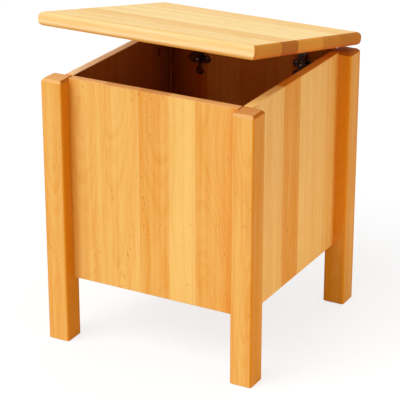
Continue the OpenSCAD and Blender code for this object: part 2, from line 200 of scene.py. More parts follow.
def makeWood(name, pale, deep, endPale, endDeep, turn=(0.0, 0.0, 0.0), place=(0.0, 0.0, 0.0),
             innerShadeTint=None, hollow=None, under=None, corners=None, figure=1.0, edgeTint=None,
             quirk=None, knots=()):
    # grain runs along Z of the turned coordinates, a board's width along X; one tint is painted
    # shade on the faces that look towards the hamper's middle, or on all that lies in the box
    # hollow, another is painted warm shade on those that look down; corners is the width between
    # two posts, beside which shade is painted; figure is how strongly the grain shows, edgeTint
    # the tint of the boards' long edges, a place across the boards tells where a fine line of
    # painted shade lies, and each knot is its place across and along the boards and its half
    # sizes
    look = woodLook
    material = bpy.data.materials.new(name)
    material.use_nodes = True
    g = Graph(material.node_tree)
    shader = material.node_tree.nodes["Principled BSDF"]
    coordinates = g.add("ShaderNodeTexCoord")
    turned = g.add("ShaderNodeMapping", {"vector_type": "TEXTURE"},
                   {"Vector": coordinates["Object"], "Location": place, "Rotation": turn})
    offset = g.add("ShaderNodeAttribute", {"attribute_name": "boardOffset"})["Vector"]
    tone = g.add("ShaderNodeAttribute", {"attribute_name": "boardTone"})["Fac"]
    endTone = g.add("ShaderNodeAttribute", {"attribute_name": "endTone"})["Fac"]
    point = g.vectorMaths("ADD", turned, offset)
    parts = g.split(point)

    def grain(kind, output="Fac", rough=0.5):
        scales, detail = woodGrain[kind]
        return g.noise(g.vectorMaths("MULTIPLY", point, scales), 1.0, detail, rough)[output]

    def darker(tint):
        return (*(t * d for t, d in zip(tint, deep)), 1)

    # growth rings round a heart that wanders beside the board
    sway = g.split(grain("sway", "Color"))
    across = parts["X"] + (sway["X"] - 0.5) * (4 * look["heartSway"])
    depth = parts["Y"] + look["heartDepth"] + (sway["Y"] - 0.5) * (5 * look["heartSway"])
    radius = g.maths("SQRT", across * across + depth * depth)
    crinkle = grain("crinkle")
    rings = radius / look["ringWidth"] + (crinkle - 0.5) * 1.2
    ring = g.maths("FRACT", rings)
    strength = g.add("ShaderNodeTexWhiteNoise", {"noise_dimensions": "1D"},
                     {"W": g.maths("FLOOR", rings)})["Value"]
    lateWood = g.fade(ring, 0.2, 0.92) * (1 - g.fade(ring, 0.92, 1.0)) * (0.15 + strength)

    # fibres, streaks, clouds and flecks along the grain
    fibre = grain("fibre")
    streak = grain("streak", rough=0.6)
    band = grain("band")
    cloud = grain("cloud")
    rosy = grain("rosy")
    fleck = g.fade(grain("fleck"), 0.705, 0.77) * g.fade(grain("patch"), 0.49, 0.62)

    # end grain, where the face looks along the grain
    normal = g.add("ShaderNodeMapping", {"vector_type": "TEXTURE"},
                   {"Vector": coordinates["Normal"], "Rotation": turn})
    normal = g.split(g.vectorMaths("ABSOLUTE", normal))
    endMask = g.fade(normal["Z"], 0.10, 0.34)
    pores = grain("pores")

    grainTone = (tone + (streak - 0.5) * (look["streakTone"] * figure)
                 + (fibre - 0.5) * (look["fibreTone"] * figure)
                 + (lateWood - 0.3) * (look["ringTone"] * figure)
                 + (band - 0.5) * (look["bandTone"] * figure)
                 + (cloud - 0.5) * look["cloudTone"])
    faceColour = g.mixed(g.fade(grainTone, -0.4, 1.4), (*pale, 1), (*deep, 1))
    faceColour = g.mixed(g.fade(rosy, 0.45, 0.75) * look["rosyTone"], faceColour,
                         (*look["rosyColour"], 1))
    faceColour = g.mixed(fleck * look["fleckTone"], faceColour, darker(look["fleckTint"]))
    endTone = (endTone + (pores - 0.5) * look["endPoreTone"]
               + (lateWood - 0.3) * look["endRingTone"] + (cloud - 0.5) * look["endCloudTone"])
    endColour = g.mixed(g.maths("MULTIPLY", endTone, 1.0, clamp=True), (*endPale, 1),
                        (*endDeep, 1))
    colour = g.mixed(endMask, faceColour, endColour)
    if edgeTint:
        colour = g.mixed(g.fade(normal["X"], 0.3, 0.8), colour, g.tinted(colour, edgeTint))

    # marks that keep their place on the row of boards
    spots = g.split(turned)
    # a line of painted shade along the crest where the lid's top turns into its front rounding
    if quirk:
        line = 1 - g.fade(g.maths("ABSOLUTE", spots["X"] - quirk), 0.0007, 0.0018)
        line = line * g.fade(streak, 0.30, 0.50) * (1 - endMask)
        colour = g.mixed(line * look["quirkTone"], colour, darker(look["quirkTint"]))
    for sideways, along, wide, high in knots:
        spread = g.maths("SQRT", ((spots["X"] - sideways) / wide) ** 2
                         + ((spots["Z"] - along) / high) ** 2) + (crinkle - 0.5) * 0.8
        colour = g.mixed((1 - g.fade(spread, 0.5, 1.3)) * look["knotTone"], colour,
                         darker(look["knotTint"]))

    # painted shade beside the posts, painted warm shade on faces that look down, and painted
    # shade within the hamper, deeper in its corners
    # painted shade on the panels beside the posts
    if corners:
        near = g.maths("MINIMUM", spots["X"], corners - spots["X"])
        postShade = (1 - g.fade(near, 0.0, look["cornerReach"])) * (1 - endMask)
        colour = g.mixed(postShade, colour, g.tinted(colour, look["cornerTint"]))
    # painted warm shade on the faces that look down
    if under:
        down = g.split(coordinates["Normal"])["Z"]
        colour = g.mixed(g.fade(down * -1, -0.25, 0.55), colour, g.tinted(colour, under))
    # painted shade on the faces within the hamper, deepened towards its corners
    if innerShadeTint:
        if hollow:
            low, high = hollow
            room = g.vectorMaths("ABSOLUTE", g.vectorMaths("SUBTRACT", coordinates["Object"],
                                                           tuple((low + high) / 2)))
            room = g.split(g.vectorMaths("SUBTRACT", tuple((high - low) / 2), room))
            nearest = g.maths("MINIMUM", room["X"], g.maths("MINIMUM", room["Y"], room["Z"]))
            inside = g.maths("GREATER_THAN", nearest, 0.0)
        else:
            flat = g.vectorMaths("MULTIPLY", coordinates["Object"], (1.0, 1.0, 0.0))
            inward = g.vectorMaths("DOT_PRODUCT", flat, coordinates["Normal"], output="Value")
            inside = g.maths("LESS_THAN", inward, -0.1)
        innerShadeColour = g.tinted(colour, innerShadeTint)
        # the painted shade deepens towards the hamper's corners
        if corners:
            innerShadeColour = g.mixed(g.fade(near, 0.0, look["nookReach"]),
                           g.tinted(innerShadeColour, (look["nookShade"],) * 3), innerShadeColour)
        colour = g.mixed(inside, colour, innerShadeColour)
    g.feed(shader.inputs["Base Color"], colour)
    g.feed(shader.inputs["Roughness"], look["roughness"] + (fibre - 0.5) * 0.2
           + (streak - 0.5) * 0.12 + endMask * look["endRoughness"])
    shader.inputs["Specular IOR Level"].default_value = look["specular"]
    shader.inputs["Coat Weight"].default_value = look["coat"]
    shader.inputs["Coat Roughness"].default_value = look["coatRoughness"]
    height = (fibre - 0.5) * 0.7 + lateWood * 0.4 - fleck * 0.9 + (pores - 0.5) * endMask
    bump = g.add("ShaderNodeBump", None,
                 {"Strength": look["bump"], "Distance": look["bumpDepth"], "Height": height})
    g.feed(shader.inputs["Normal"], bump)
    return material


quarter = math.pi / 2
# pale and deep tones of a wood's faces and of its end grain
honeyEnds = {"endPale": (0.89, 0.52, 0.19), "endDeep": (0.47, 0.12, 0.003)}
honey = {"pale": (0.93, 0.58, 0.172), "deep": (0.745, 0.24, 0.006), **honeyEnds}
# the side panels' pale end grain is painted light on the right panel's top edges, in the lid's
# shadow
sideHoney = {"pale": (0.965, 0.565, 0.165), "deep": (0.775, 0.265, 0.014),
             "endPale": (1.0, 0.63, 0.20), "endDeep": (0.76, 0.215, 0.003)}
# the lid's paler tones are partly its own wood and partly painted light and sheen of its lit top
lidHoney = {"pale": (0.96, 0.725, 0.315), "deep": (0.86, 0.485, 0.115),
            "endPale": (0.84, 0.34, 0.035), "endDeep": (0.46, 0.13, 0.010)}
innerPine = {"pale": (0.82, 0.56, 0.26), "deep": (0.66, 0.36, 0.12),
             "endPale": (0.62, 0.36, 0.13), "endDeep": (0.38, 0.18, 0.05)}

innerWood = makeWood("innerWood", **innerPine)
crossWood = makeWood("crossWood", **innerPine, turn=(0.0, quarter, 0.0))
alongWood = makeWood("alongWood", **innerPine, turn=(quarter, 0.0, 0.0))


metalGrain = {"cloudScale": 160.0, "speckScale": 1900.0, "bump": 0.12, "bumpDepth": 0.0002}


def makeMetal(name, colour, wornColour, roughness, metallic=1.0):
    # cloudy and finely specked, lighter where it is worn
    material = bpy.data.materials.new(name)
    material.use_nodes = True
    g = Graph(material.node_tree)
    shader = material.node_tree.nodes["Principled BSDF"]
    place = g.add("ShaderNodeTexCoord")["Object"]
    cloud = g.noise(place, metalGrain["cloudScale"], 3.0)["Fac"]
    speck = g.noise(place, metalGrain["speckScale"], 2.0)["Fac"]
    worn = g.fade(cloud * 0.7 + speck * 0.3, 0.48, 0.66)
    g.feed(shader.inputs["Base Color"], g.mixed(worn, (*colour, 1), (*wornColour, 1)))
    g.feed(shader.inputs["Roughness"], roughness + (cloud - 0.5) * 0.3 + (speck - 0.5) * 0.15)
    shader.inputs["Metallic"].default_value = metallic
    g.feed(shader.inputs["Normal"], g.add("ShaderNodeBump", None, {
        "Strength": metalGrain["bump"], "Distance": metalGrain["bumpDepth"], "Height": speck}))
    return material


metalLook = {
    "darkMetal": {"colour": (0.20, 0.175, 0.15), "wornColour": (0.34, 0.31, 0.28),
                  "roughness": 0.30},
    "screwMetal": {"colour": (0.28, 0.26, 0.23), "wornColour": (0.46, 0.43, 0.39),
                   "roughness": 0.26},
    "rubber": {"colour": (0.020, 0.016, 0.014), "wornColour": (0.035, 0.03, 0.026),
               "roughness": 0.75, "metallic": 0.0},
}
darkMetal, screwMetal, rubber = (makeMetal(name, **look) for name, look in metalLook.items())
print("materials made")


def freshObject(name, mesh):
    made = bpy.data.objects.new(name, mesh)
    bpy.context.scene.collection.objects.link(made)
    return made


def fromBmesh(name, work):
    mesh = bpy.data.meshes.new(name)
    work.to_mesh(mesh)
    work.free()
    return freshObject(name, mesh)


def settle(piece, smoothAngle=35.0):
    # turns what the modifiers make into a plain mesh: the shape first, then its even shading
    shading = piece.modifiers.new("evenShading", "WEIGHTED_NORMAL")
    shading.keep_sharp = True
    shading.weight = 100
    for shaped in (False, True):
        graph = bpy.context.evaluated_depsgraph_get()
        made = bpy.data.meshes.new_from_object(piece.evaluated_get(graph),
                                               preserve_all_data_layers=True, depsgraph=graph)
        if shaped:
            piece.modifiers.clear()
        else:
            made.shade_smooth()
            made.set_sharp_from_angle(angle=math.radians(smoothAngle))
            for other in list(piece.modifiers):
                if other != shading:
                    piece.modifiers.remove(other)
        piece.data = made
        bpy.context.view_layer.update()
    weights = piece.data.attributes.get("bevel_weight_edge")
    if weights:
        piece.data.attributes.remove(weights)


weldDistance = 1e-6  # corners nearer than this count as one


def spanOf(points):
    # lowest and highest corner of what the points fill
    return (Vector(min(p[i] for p in points) for i in range(3)),
            Vector(max(p[i] for p in points) for i in range(3)))


def boxOf(node, back=Matrix.Identity(4)):
    # the same for a CAD node, by default as it stands
    return spanOf([back @ v.co for v in nodes[node].data.vertices])


def solidBoxes(node, back=Matrix.Identity(4)):
    # and for each separate solid in a CAD node
    work = bmesh.new()
    work.from_mesh(nodes[node].data)
    bmesh.ops.remove_doubles(work, verts=work.verts, dist=weldDistance)
    left, boxes = set(work.verts), []
    while left:
        start = left.pop()
        group, queue = [start], [start]
        while queue:
            for edge in queue.pop().link_edges:
                for v in edge.verts:
                    if v in left:
                        left.discard(v)
                        group.append(v)
                        queue.append(v)
        boxes.append(spanOf([back @ v.co for v in group]))
    work.free()
    return sorted(boxes, key=lambda b: tuple(round(c, 4) for c in b[0]))


def treeInput(tree, label, kind, value=None):
    socket = tree.interface.new_socket(label, in_out="INPUT", socket_type=kind)
    if value is not None:
        socket.default_value = value


def runTree(piece, tree, values):
    modifier = piece.modifiers.new(tree.name, "NODES")
    modifier.node_group = tree
    for item in tree.interface.items_tree:
        if item.in_out == "INPUT" and item.name in values:
            modifier[item.identifier] = values[item.name]


def boardRowTree(count):
    # a row of glued boards: widths along X, thickness along Y, grain along Z
    tree = bpy.data.node_groups.new("boardRow%d" % count, "GeometryNodeTree")
    tree.interface.new_socket("Geometry", in_out="OUTPUT", socket_type="NodeSocketGeometry")
    treeInput(tree, "Material", "NodeSocketMaterial")
    treeInput(tree, "Length", "NodeSocketFloat", 0.4)
    treeInput(tree, "Thickness", "NodeSocketFloat", 0.018)
    treeInput(tree, "Largest Easing", "NodeSocketFloat", 0.001)
    treeInput(tree, "Outer Easing", "NodeSocketFloat", 0.0003)
    treeInput(tree, "End Easing", "NodeSocketFloat", 0.001)
    treeInput(tree, "Corner Easing", "NodeSocketFloat", 0.001)
    treeInput(tree, "Glue Line", "NodeSocketFloat", 0.00004)
    treeInput(tree, "Figure Spread", "NodeSocketFloat", 2.0)
    treeInput(tree, "Seed", "NodeSocketInt", 1)
    treeInput(tree, "Turn", "NodeSocketVector")
    treeInput(tree, "Place", "NodeSocketVector")
    for i in range(count):
        treeInput(tree, "Width %d" % (i + 1), "NodeSocketFloat", 0.07)
        treeInput(tree, "Tone %d" % (i + 1), "NodeSocketFloat", 0.4)
        treeInput(tree, "End Tone %d" % (i + 1), "NodeSocketFloat", 0.4)
    g = Graph(tree)
    given = g.add("NodeGroupInput")
    length, thick = given["Length"], given["Thickness"]
    spot = g.split(g.add("GeometryNodeInputPosition"))
    along = g.maths("LESS_THAN", g.maths("ABSOLUTE", spot["Z"] - length * 0.5), length * 0.25)
    through = g.maths("LESS_THAN", g.maths("ABSOLUTE", spot["Y"] - thick * 0.5), thick * 0.25)
    start, boards = 0.0, []
    for i in range(count):
        width = given["Width %d" % (i + 1)]
        glueLeft = given["Glue Line"] * (0.5 if i else 0.0)
        glueRight = given["Glue Line"] * (0.5 if i < count - 1 else 0.0)
        cube = g.add("GeometryNodeMeshCube", None, {
            "Size": g.vector(width - glueLeft - glueRight, thick, length)})
        board = g.add("GeometryNodeTransform", None, {
            "Geometry": cube,
            "Translation": g.vector(start + (width + glueLeft - glueRight) * 0.5,
                                    thick * 0.5, length * 0.5)})
        if i == 0:
            outer = g.maths("LESS_THAN", spot["X"], width * 0.5)
        elif i == count - 1:
            outer = g.maths("GREATER_THAN", spot["X"], start + width * 0.5)
        else:
            outer = 0.0
        ends = (through * outer * given["Corner Easing"]
                + (1 - through) * given["End Easing"])
        easing = along * outer * given["Outer Easing"] + (1 - along) * ends
        board = g.add("GeometryNodeStoreNamedAttribute",
                      {"data_type": "FLOAT", "domain": "EDGE"},
                      {"Geometry": board, "Name": "bevel_weight_edge",
                       "Value": easing / given["Largest Easing"]})
        for attribute, label in (("boardTone", "Tone"), ("endTone", "End Tone")):
            board = g.add("GeometryNodeStoreNamedAttribute",
                          {"data_type": "FLOAT", "domain": "FACE"},
                          {"Geometry": board, "Name": attribute,
                           "Value": given["%s %d" % (label, i + 1)]})
        number = g.add("FunctionNodeInputInt", {"integer": i})
        figure = g.add("FunctionNodeRandomValue", {"data_type": "FLOAT_VECTOR"},
                       {"Min": (-1.0, -0.01, -1.0), "Max": (1.0, 0.01, 1.0),
                        "ID": number, "Seed": given["Seed"]})
        figure = g.vectorMaths("MULTIPLY", figure,
                               g.vector(given["Figure Spread"] * 0.03, 1.0,
                                        given["Figure Spread"]))
        # the heart lies behind the middle of each board
        figure = g.vectorMaths("SUBTRACT", figure, g.vector(start + width * 0.5, 0.0, 0.0))
        board = g.add("GeometryNodeStoreNamedAttribute",
                      {"data_type": "FLOAT_VECTOR", "domain": "FACE"},
                      {"Geometry": board, "Name": "boardOffset", "Value": figure})
        boards.append(board)
        start = start + width
    joined = g.add("GeometryNodeJoinGeometry", None, {"Geometry": boards[::-1]})
    placed = g.add("GeometryNodeTransform", None,
                   {"Geometry": joined, "Rotation": given["Turn"],
                    "Translation": given["Place"]})
    plain = g.add("GeometryNodeRealizeInstances", None, {"Geometry": placed})
    dressed = g.add("GeometryNodeSetMaterial", None,
                    {"Geometry": plain, "Material": given["Material"]})
    g.add("NodeGroupOutput", None, {"Geometry": dressed})
    return tree


boardRow = boardRowTree(5)


def makeBoards(name, look, widths, length, thickness, turn, place, material):
    piece = freshObject(name, bpy.data.meshes.new(name))
    values = {"Material": material, "Length": length, "Thickness": thickness,
              "Largest Easing": look["largestEasing"], "Outer Easing": look["outerEasing"],
              "End Easing": look["endEasing"], "Corner Easing": look["cornerEasing"],
              "Glue Line": look["glueLine"], "Seed": look["seed"], "Turn": turn,
              "Place": place}
    for i, (width, tone, endTone) in enumerate(zip(widths, look["tones"], look["endTones"])):
        values["Width %d" % (i + 1)] = width
        values["Tone %d" % (i + 1)] = tone
        values["End Tone %d" % (i + 1)] = endTone
    runTree(piece, boardRow, values)
    bevel = piece.modifiers.new("eased", "BEVEL")
    bevel.limit_method = "WEIGHT"
    bevel.width = look["largestEasing"]
    bevel.segments = look["easingSteps"]
    return piece


# the tint of each side's faces within the hamper is painted shade
panelLook = {
    "front": {"seed": 11, "tones": (0.36, 0.36, 0.60, 0.10, 0.60), "inside": (0.80, 0.50, 0.28),
              "endTones": (0.14, 0.34, 0.40, 0.20, 0.34)},
    "rear": {"seed": 23, "tones": (1.10, 0.35, 0.55, 0.45, 0.85), "inside": (1.00, 0.62, 0.36),
             "endTones": (0.30, 0.20, 0.40, 0.25, 0.35)},
    # the left panel's paler end grain is partly painted light on its top edges, in the lid's
    # shadow
    "left": {"seed": 37, "tones": (0.35, 0.50, 0.30, 0.55, 0.40), "inside": (0.60, 0.34, 0.22),
             "endTones": (0.02, 0.08, 0.04, 0.14, 0.10), "ends": {"endPale": (0.96, 0.66, 0.38)},
             "knots": ((0.321, 0.366, 0.0065, 0.0115),)},
    # the lightest end-grain tones of the right panel are painted light on its top edges, in the
    # lid's shadow
    "right": {"seed": 41, "tones": (0.24, 0.26, 0.98, 0.24, 0.46), "inside": (0.80, 0.50, 0.28),
              "endTones": (-0.15, 0.20, 0.88, 0.84, 0.95)},
}
panelEasing = {"largestEasing": 0.0014, "outerEasing": 0.0003, "endEasing": 0.0014,
               "cornerEasing": 0.0003, "easingSteps": 3, "glueLine": 0.00004}

for side, look in panelLook.items():
    look = {**look, **panelEasing}
    staves = ["%s_stave_%d" % (side, i) for i in range(1, 6)]
    boxes = [boxOf(n) for n in staves]
    low, high = spanOf([corner for box in boxes for corner in box])
    size = high - low
    if side in ("front", "rear"):
        widths = [b[1].x - b[0].x for b in boxes]
        wood = makeWood(side + "Wood", **honey, place=low, innerShadeTint=look["inside"],
                        corners=size.x)
        panel = makeBoards(side + "Panel", look, widths, size.z, size.y, (0, 0, 0), low, wood)
    else:  # boards run front to back, so the row is turned a quarter
        widths = [b[1].y - b[0].y for b in boxes]
        corner, turn = Vector((high.x, low.y, low.z)), (0, 0, quarter)
        wood = makeWood(side + "Wood", **{**sideHoney, **look.get("ends", {})}, turn=turn,
                        place=corner, innerShadeTint=look["inside"], corners=size.y,
                        knots=look.get("knots", ()))
        panel = makeBoards(side + "Panel", look, widths, size.z, size.x, turn, corner, wood)
    settle(panel)
    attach(panel, "box")
    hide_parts(*staves)
print("panels made")


postLook = {
    "edgeRadius": 0.0045,
    "leastRadius": 0.0012,  # of those edges, where a chamfer cuts them
    "edgeTone": 0.60,       # how much deeper the varnish is on the long edges
    "topChamfer": 0.0046,
    "footChamfer": 0.0012,
    "arris": 0.0006,        # rounding of the top chamfer's own edges
    "arrisSteps": 4,
    "cornerSteps": 6,
    # the tint of the posts' faces within the hamper is painted shade
    "inside": (0.34, 0.18, 0.10),
    # tones of the faces to the front, right, back and left, and of the end grain; the deep right
    # faces of the front posts and the deep front face and top of the rear-right post are painted
    # shade
    "front_left": (0.52, 1.35, 0.50, 0.55, 0.32),
    "front_right": (0.50, 1.06, 0.60, 0.70, 0.60),
    "rear_left": (0.45, 0.60, 0.50, 0.60, 0.50),
    "rear_right": (1.20, 0.93, 0.55, 0.60, 1.00),
    # end-grain tones of the top chamfers to the front, right, back and left; their deep tones to
    # the right, and on the rear-right post, are painted shade
    "chamfers": {"front_left": (0.24, 1.00, 0.50, 0.30), "front_right": (0.34, 1.05, 0.60, 0.30),
                 "rear_left": (0.40, 0.60, 0.60, 0.40), "rear_right": (1.00, 1.10, 0.70, 0.60)},
}

# the room between the panels' inner faces
hollowLow = Vector((boxOf("left_stave_1")[1].x, boxOf("front_stave_1")[1].y,
                    boxOf("front_stave_1")[0].z))
hollowHigh = Vector((boxOf("right_stave_1")[0].x, boxOf("rear_stave_1")[0].y,
                     boxOf("front_stave_1")[1].z - panelEasing["endEasing"]))
postWood = makeWood("postWood", **honey, figure=1.2, innerShadeTint=postLook["inside"],
                    hollow=(hollowLow, hollowHigh))


def roundedRing(side, radius, steps):
    # corners of a square with round corners, anticlockwise
    half, points = side / 2 - radius, []
    for k, (sx, sy) in enumerate(((1, 1), (-1, 1), (-1, -1), (1, -1))):
        for step in range(steps + 1):
            angle = quarter * (k + step / steps)
            points.append((sx * half + radius * math.cos(angle),
                           sy * half + radius * math.sin(angle)))
    return points


def toneTowards(normal, front, right, back, left):
    share = normal.x ** 2 / max(normal.x ** 2 + normal.y ** 2, 1e-9)
    return ((right if normal.x > 0 else left) * share
            + (back if normal.y > 0 else front) * (1 - share))


def makePost(name, corner, seed):
    low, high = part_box("post_" + corner)
    side, middle = high.x - low.x, (low + high) / 2
    top, foot, arris = postLook["topChamfer"], postLook["footChamfer"], postLook["arris"]
    steps, reach = postLook["arrisSteps"], arris * math.tan(math.pi / 8)
    levels = [(0.0, foot), (foot, 0.0)]  # heights, and how far in the sides stand there
    for k in range(steps + 1):
        turn = math.pi / 4 * k / steps
        levels.append((high.z - top - reach + arris * math.sin(turn),
                       arris * (1 - math.cos(turn))))
    for k in range(steps + 1):
        turn = math.pi / 4 * (1 - k / steps)
        levels.append((high.z - arris * (1 - math.cos(turn)),
                       top + reach - arris * math.sin(turn)))
    work = bmesh.new()
    rings = []
    for z, inset in levels:
        radius = max(postLook["edgeRadius"] - inset * 0.5, postLook["leastRadius"])
        ring = [work.verts.new((middle.x + px, middle.y + py, z))
                for px, py in roundedRing(side - 2 * inset, radius, postLook["cornerSteps"])]
        rings.append(ring)
    for a, b in zip(rings, rings[1:]):
        for i in range(len(a)):
            j = (i + 1) % len(a)
            work.faces.new((a[i], a[j], b[j], b[i]))
    work.faces.new(rings[0][::-1])
    work.faces.new(rings[-1])
    post = fromBmesh(name, work)
    mesh = post.data
    mesh.materials.append(postWood)
    toneLayer = mesh.attributes.new("boardTone", "FLOAT", "FACE")
    endLayer = mesh.attributes.new("endTone", "FLOAT", "FACE")
    offsetLayer = mesh.attributes.new("boardOffset", "FLOAT_VECTOR", "FACE")
    # each post has another place beside the heart and along the grain
    offset = (-middle.x + 0.012 * math.sin(seed), -middle.y + 0.01 * math.cos(seed),
              1.7 * math.sin(2.3 * seed))
    *sideTones, endTone = postLook[corner]
    for i, face in enumerate(mesh.polygons):
        tilted = 0.2 < face.normal.z < 0.98  # on a top chamfer
        onEdge = 4 * face.normal.x ** 2 * face.normal.y ** 2  # one where two faces meet
        toneLayer.data[i].value = (toneTowards(face.normal, *sideTones)
                                   + postLook["edgeTone"] * onEdge)
        endLayer.data[i].value = (toneTowards(face.normal, *postLook["chamfers"][corner])
                                  if tilted else endTone)
        offsetLayer.data[i].vector = offset
    settle(post, 30.0)
    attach(post, "box")
    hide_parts("post_" + corner)


for seed, corner in enumerate(("front_left", "front_right", "rear_left", "rear_right")):
    side, hand = corner.split("_")
    makePost(side + "Post" + hand.capitalize(), corner, seed + 3)
print("posts made")


lidLook = {
    "seed": 5,
    "tones": (0.50, 1.00, 0.12, 0.26, 0.62),
    "endTones": (0.45, 1.00, 0.26, 0.62, 0.75),
    "figure": 2.2,
    "edgeTint": (1.00, 1.02, 1.31),
    # painted warm shade on the lid's faces that look down
    "under": (0.93, 0.62, 0.28),
    "quirk": 0.0098,         # painted shade line behind the front edge's rounding, where the top turns down
    "largestEasing": 0.0086,
    "outerEasing": 0.0086,
    "endEasing": 0.0086,
    "cornerEasing": 0.0008,
    "easingSteps": 8,
    "glueLine": 0.00004,
    "leafBedDepth": 0.0025,
    "leafBedGap": 0.0004,
    "leafBedOver": 0.002,    # how far the cut reaches out of the wood
}

strips = ["lid_strip_%d" % i for i in range(1, 6)]
stripBoxes = [boxOf(n, lidBack) for n in strips]
lidLow, lidHigh = spanOf([corner for box in stripBoxes for corner in box])
lidSize = lidHigh - lidLow
# the row is laid down: widths run back, thickness up and grain across
laidDown = Matrix(((0, 0, 1), (1, 0, 0), (0, 1, 0))).to_4x4()
laid = lidTurn @ Matrix.Translation(lidLow) @ laidDown
lidWood = makeWood("lidWood", **lidHoney, turn=laid.to_euler(), place=laid.translation,
                   figure=lidLook["figure"], edgeTint=lidLook["edgeTint"],
                   under=lidLook["under"], quirk=lidLook["quirk"])
lid = makeBoards("lidBoard", lidLook, [b[1].y - b[0].y for b in stripBoxes], lidSize.x,
                 lidSize.z, laid.to_euler(), laid.translation, lidWood)
cutters = []
for hand in ("left", "right"):
    leafLow, leafHigh = boxOf("hinge_leaf_" + hand, lidBack)
    gap, over = lidLook["leafBedGap"], lidLook["leafBedOver"]
    work = bmesh.new()
    bmesh.ops.create_cube(work, size=1.0)
    spanLow = Vector((leafLow.x - gap, leafLow.y - gap, lidLow.z - over))
    spanHigh = Vector((leafHigh.x + gap, lidHigh.y + over, lidLow.z + lidLook["leafBedDepth"]))
    for v in work.verts:
        v.co = lidTurn @ Vector(spanLow[i] if v.co[i] < 0 else spanHigh[i] for i in range(3))
    cutter = fromBmesh("leafBed" + hand.capitalize(), work)
    cutters.append(cutter)
    bed = lid.modifiers.new("leafBed", "BOOLEAN")
    bed.object = cutter
    bed.operation = "DIFFERENCE"
settle(lid)
for cutter in cutters:
    bpy.data.objects.remove(cutter)
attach(lid, "lid")
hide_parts(*strips)
print("lid made")


softEdge = {"board": 0.0008, "cleat": 0.0006, "plate": 0.0005, "arm": 0.0006, "leaf": 0.0004,
            "pin": 0.0004, "steps": 2, "sharpAngle": 40.0, "flatAngle": 1.0}


def softened(name, node, width, material, body, tone=None):
    # a piece with the shape of a CAD node and its sharp edges rounded
    work = bmesh.new()
    work.from_mesh(nodes[node].data)
    bmesh.ops.remove_doubles(work, verts=work.verts, dist=weldDistance)
    bmesh.ops.dissolve_limit(work, angle_limit=math.radians(softEdge["flatAngle"]),
                             verts=work.verts, edges=work.edges)
    piece = fromBmesh(name, work)
    piece.data.materials.clear()
    piece.data.materials.append(material)
    if tone is not None:
        for attribute in ("boardTone", "endTone"):
            toneLayer = piece.data.attributes.new(attribute, "FLOAT", "FACE")
            for i in range(len(piece.data.polygons)):
                toneLayer.data[i].value = tone
    bevel = piece.modifiers.new("softened", "BEVEL")
    bevel.limit_method = "ANGLE"
    bevel.angle_limit = math.radians(softEdge["sharpAngle"])
    bevel.width = width
    bevel.segments = softEdge["steps"]
    settle(piece)
    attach(piece, body)
    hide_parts(node)


softened("bottomBoard", "bottom_board", softEdge["board"], crossWood, "box", 0.3)
for side, wood, tone in (("front", crossWood, 0.5), ("rear", crossWood, 0.4),
                         ("left", alongWood, 0.6), ("right", alongWood, 0.3)):
    softened("cleat" + side.capitalize(), "cleat_" + side, softEdge["cleat"], wood, "box",
             tone)
for hand in ("left", "right"):
    for part, metal, body, slot in (("plate", darkMetal, "box", "dark_metal"),
                                    ("arm", darkMetal, "box", "dark_metal"),
                                    ("pin", screwMetal, "box", "screw_metal"),
                                    ("leaf", darkMetal, "lid", "dark_metal")):
        softened("hinge" + part.capitalize() + hand.capitalize(), "hinge_%s_%s" % (part, hand),
                 softEdge[part], metal, body)
for materialSlot in nodes["dowels"].material_slots:
    materialSlot.material = innerWood
print("hinges, bottom and cleats made")


def turnedShape(name, outline, steps, slotWidth=0.0, slotLength=0.0, slotDepth=0.0,
                slotTaper=0.45):
    # an outline of (radius, height) turned round Z, with a cross slot where it has a width; the
    # slot narrows to slotTaper of its size at the bottom
    work = bmesh.new()
    rings = []
    for radius, height in outline:
        if radius == 0:
            rings.append([work.verts.new((0, 0, height))])
        else:
            rings.append([work.verts.new((radius * math.cos(2 * math.pi * k / steps),
                                          radius * math.sin(2 * math.pi * k / steps), height))
                          for k in range(steps)])
    for a, b in zip(rings, rings[1:]):
        for i in range(steps):
            j = (i + 1) % steps
            corners = [a[i % len(a)], a[j % len(a)], b[j % len(b)], b[i % len(b)]]
            work.faces.new(list(dict.fromkeys(corners)))
    bmesh.ops.recalc_face_normals(work, faces=work.faces)
    shape = fromBmesh(name, work)
    if not slotWidth:
        return shape
    cutters = []
    top = max(h for r, h in outline)
    for size in ((slotLength, slotWidth), (slotWidth, slotLength)):
        cut = bmesh.new()
        bmesh.ops.create_cube(cut, size=1.0)
        for v in cut.verts:
            narrow = 1.0 if v.co.z > 0 else slotTaper
            v.co = Vector((v.co.x * size[0] * narrow, v.co.y * size[1] * narrow,
                           top + (slotDepth if v.co.z > 0 else -slotDepth)))
        cutter = fromBmesh(name + "Cut", cut)
        cutters.append(cutter)
        slot = shape.modifiers.new("slot", "BOOLEAN")
        slot.object = cutter
        slot.operation = "DIFFERENCE"
    settle(shape, 30.0)
    for cutter in cutters:
        bpy.data.objects.remove(cutter)
    return shape


